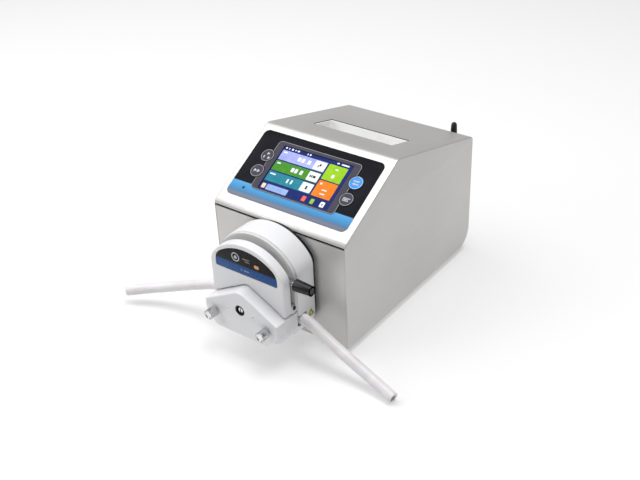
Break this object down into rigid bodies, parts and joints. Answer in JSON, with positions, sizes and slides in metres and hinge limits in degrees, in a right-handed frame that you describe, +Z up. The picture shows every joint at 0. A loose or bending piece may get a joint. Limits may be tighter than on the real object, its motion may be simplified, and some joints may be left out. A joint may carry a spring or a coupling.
{
  "type": "peristaltic pump",
  "caption": "Bench peristaltic pump: sloping touch panel on a folded steel drive, arched roller head on the front with a side lever and a soft tube through it.",
  "frame": {"origin": "centre of the footprint, under the rubber feet", "axes": "+Z up, the pump head faces -Y, +X to the right seen from the front"},
  "size_m": [0.3661, 0.361, 0.1967],
  "materials": {
    "brushed_steel": "brushed stainless sheet",
    "plain_steel": "satin machined steel",
    "chrome": "polished plating",
    "foot_rubber": "matt black rubber",
    "overlay_film": "satin printed film",
    "bezel_film": "satin printed film",
    "screen_glass": "lit display under glass",
    "grey_part": "moulded grey plastic",
    "circuit_board": "solder-masked board",
    "aluminium_part": "milled aluminium",
    "brass_part": "turned brass",
    "black_part": "moulded black plastic",
    "motor_paint": "black painted laminations",
    "rocker_red": "moulded red plastic",
    "head_white": "smooth white moulding",
    "label_blue": "printed film",
    "grip_black": "smooth black moulding",
    "silicone": "translucent silicone"
  },
  "bodies": {
    "drive": {"housing_cover": "brushed_steel", "chassis": "brushed_steel", "handle_tray": "brushed_steel", "cover_screws": "plain_steel", "rubber_feet": "foot_rubber", "foot_screws": "plain_steel", "front_overlay": "overlay_film", "display_bezel": "bezel_film", "touch_glass": "screen_glass", "lcd_module": "grey_part", "keypad_boards": "circuit_board", "control_board": "circuit_board", "board_standoffs": "brass_part", "power_supply": "aluminium_part", "driver_board": "aluminium_part", "motor_plate": "aluminium_part", "stepper_motor": "motor_paint", "motor_screws": "plain_steel", "power_inlet": "black_part", "inlet_screws": "plain_steel", "power_switch": "black_part", "signal_socket": "grey_part", "socket_screws": "plain_steel", "antenna_mount": "brass_part", "mount_flange": "black_part", "head_screws": "plain_steel", "head_back": "head_white", "head_front": "head_white", "shaft_bearings": "plain_steel", "guide_pins": "plain_steel", "jaw_springs": "plain_steel", "tube_loop": "silicone", "left_tube_tail": "silicone", "right_tube_tail": "silicone"},
    "start_key": {"start_key": "overlay_film"},
    "direction_key": {"direction_key": "overlay_film"},
    "prime_key": {"prime_key": "overlay_film"},
    "menu_key": {"menu_key": "overlay_film"},
    "power_rocker": {"power_rocker": "rocker_red"},
    "antenna_elbow": {"antenna_elbow": "black_part"},
    "antenna_rod": {"antenna_rod": "black_part"},
    "rotor": {"motor_shaft": "plain_steel", "drive_coupling": "plain_steel", "rotor_shaft": "plain_steel", "rotor_hub": "aluminium_part", "roller_pins": "plain_steel"},
    "roller_1": {"roller_1": "plain_steel"},
    "roller_2": {"roller_2": "plain_steel"},
    "roller_3": {"roller_3": "plain_steel"},
    "jaw": {"upper_jaw": "head_white", "pressure_block": "grey_part", "cam_keeper": "plain_steel", "head_label": "label_blue"},
    "lever": {"cam_shaft": "plain_steel", "lever_arm": "chrome", "lever_grip": "grip_black"},
    "left_screw": {"left_thumb_screw": "chrome"},
    "right_screw": {"right_thumb_screw": "chrome"},
    "left_clamp": {"left_tube_clamp": "grey_part"},
    "right_clamp": {"right_tube_clamp": "grey_part"}
  },
  "joints": [
    {"name": "rotor_spin", "type": "hinge", "parent": "drive", "child": "rotor", "pos_m": [0, -0.1255, 0.067], "axis": [0, 1, 0], "continuous": true},
    {"name": "roller_1_spin", "type": "hinge", "parent": "rotor", "child": "roller_1", "pos_m": [0, -0.1255, 0.091], "axis": [0, 1, 0], "continuous": true},
    {"name": "roller_2_spin", "type": "hinge", "parent": "rotor", "child": "roller_2", "pos_m": [-0.02079, -0.1255, 0.055], "axis": [0, 1, 0], "continuous": true},
    {"name": "roller_3_spin", "type": "hinge", "parent": "rotor", "child": "roller_3", "pos_m": [0.02079, -0.1255, 0.055], "axis": [0, 1, 0], "continuous": true},
    {"name": "lever_turn", "type": "hinge", "parent": "jaw", "child": "lever", "pos_m": [0, -0.1379, 0.104], "axis": [0, -1, 0], "range_deg": [0, 180]},
    {"name": "jaw_lift", "type": "slide", "parent": "drive", "child": "jaw", "axis": [0, 0, 1], "range_m": [0, 0.012], "deforming": ["jaw_springs"]},
    {"name": "left_screw_turn", "type": "hinge", "parent": "drive", "child": "left_screw", "pos_m": [-0.036, -0.1675, 0.054], "axis": [0, 1, 0], "range_deg": [0, 720]},
    {"name": "right_screw_turn", "type": "hinge", "parent": "drive", "child": "right_screw", "pos_m": [0.036, -0.1675, 0.054], "axis": [0, 1, 0], "range_deg": [0, 720]},
    {"name": "left_clamp_slide", "type": "slide", "parent": "drive", "child": "left_clamp", "axis": [0, -1, 0], "range_m": [0, 0.0016]},
    {"name": "right_clamp_slide", "type": "slide", "parent": "drive", "child": "right_clamp", "axis": [0, -1, 0], "range_m": [0, 0.0016]},
    {"name": "start_key_press", "type": "slide", "parent": "drive", "child": "start_key", "axis": [0, 0.4894, -0.8721], "range_m": [0, 0.0005], "stiffness_N_per_m": 600, "springref_m": -0.0005},
    {"name": "direction_key_press", "type": "slide", "parent": "drive", "child": "direction_key", "axis": [0, 0.4894, -0.8721], "range_m": [0, 0.0005], "stiffness_N_per_m": 600, "springref_m": -0.0005},
    {"name": "prime_key_press", "type": "slide", "parent": "drive", "child": "prime_key", "axis": [0, 0.4894, -0.8721], "range_m": [0, 0.0005], "stiffness_N_per_m": 600, "springref_m": -0.0005},
    {"name": "menu_key_press", "type": "slide", "parent": "drive", "child": "menu_key", "axis": [0, 0.4894, -0.8721], "range_m": [0, 0.0005], "stiffness_N_per_m": 600, "springref_m": -0.0005},
    {"name": "power_rocker_tilt", "type": "hinge", "parent": "drive", "child": "power_rocker", "pos_m": [-0.006, 0.1655, 0.061], "axis": [1, 0, 0], "range_deg": [0, 20]},
    {"name": "antenna_swivel", "type": "hinge", "parent": "drive", "child": "antenna_elbow", "pos_m": [0.059, 0.1765, 0.117], "axis": [0, 1, 0], "range_deg": [-90, 90]},
    {"name": "antenna_tilt", "type": "hinge", "parent": "antenna_elbow", "child": "antenna_rod", "pos_m": [0.059, 0.1765, 0.117], "axis": [-1, 0, 0], "range_deg": [0, 90]}
  ],
  "couplings": [
    {"joint": "roller_1_spin", "follows": "rotor_spin", "ratio": -3.6667},
    {"joint": "roller_2_spin", "follows": "rotor_spin", "ratio": -3.6667},
    {"joint": "roller_3_spin", "follows": "rotor_spin", "ratio": -3.6667},
    {"joint": "jaw_lift", "follows": "lever_turn", "m_per_rad": 0.0038197},
    {"joint": "left_clamp_slide", "follows": "left_screw_turn", "m_per_rad": 0.00012732},
    {"joint": "right_clamp_slide", "follows": "right_screw_turn", "m_per_rad": 0.00012732}
  ]
}
